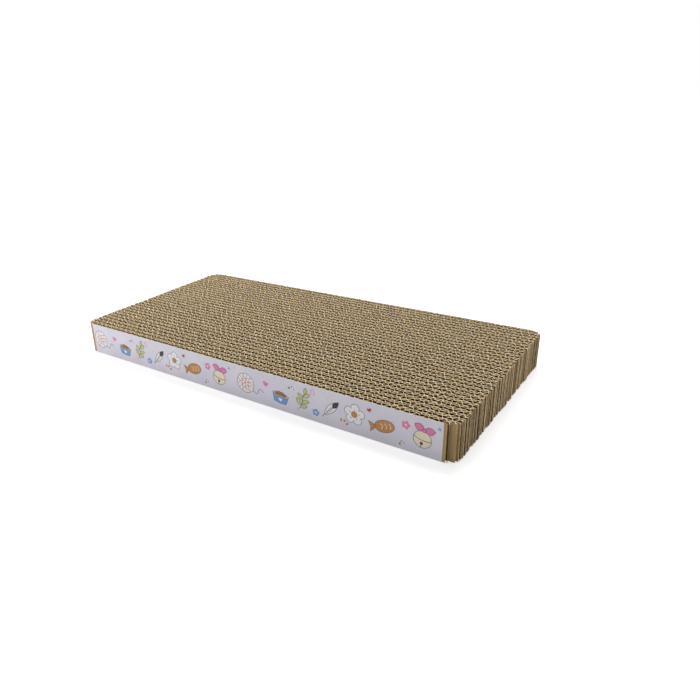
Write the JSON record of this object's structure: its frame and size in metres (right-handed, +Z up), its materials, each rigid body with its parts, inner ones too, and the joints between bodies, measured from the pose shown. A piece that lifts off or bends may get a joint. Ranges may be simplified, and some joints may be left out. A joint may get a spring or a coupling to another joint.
{
  "type": "cardboard cat scratcher",
  "caption": "Flat rectangular cat scratching pad of double-wall corrugated board strips on edge, with printed paper bands on its long sides.",
  "frame": {"origin": "centre of the pad's underside, on the floor", "axes": "+X along the pad's length and its strips, +Y from the printed front side to the rear, +Z up through the board's cut edges"},
  "size_m": [0.425, 0.21, 0.033],
  "materials": {
    "kraft_board": "matte",
    "printed_paper": "matte"
  },
  "bodies": {
    "root": {"strip_01": "kraft_board", "strip_02": "kraft_board", "strip_03": "kraft_board", "strip_04": "kraft_board", "strip_05": "kraft_board", "strip_06": "kraft_board", "strip_07": "kraft_board", "strip_08": "kraft_board", "strip_09": "kraft_board", "strip_10": "kraft_board", "strip_11": "kraft_board", "strip_12": "kraft_board", "strip_13": "kraft_board", "strip_14": "kraft_board", "strip_15": "kraft_board", "strip_16": "kraft_board", "strip_17": "kraft_board", "strip_18": "kraft_board", "strip_19": "kraft_board", "strip_20": "kraft_board", "strip_21": "kraft_board", "strip_22": "kraft_board", "strip_23": "kraft_board", "strip_24": "kraft_board", "strip_25": "kraft_board", "strip_26": "kraft_board", "strip_27": "kraft_board", "strip_28": "kraft_board", "strip_29": "kraft_board", "strip_30": "kraft_board", "strip_31": "kraft_board", "strip_32": "kraft_board", "front_band": "printed_paper", "rear_band": "printed_paper"}
  },
  "joints": []
}
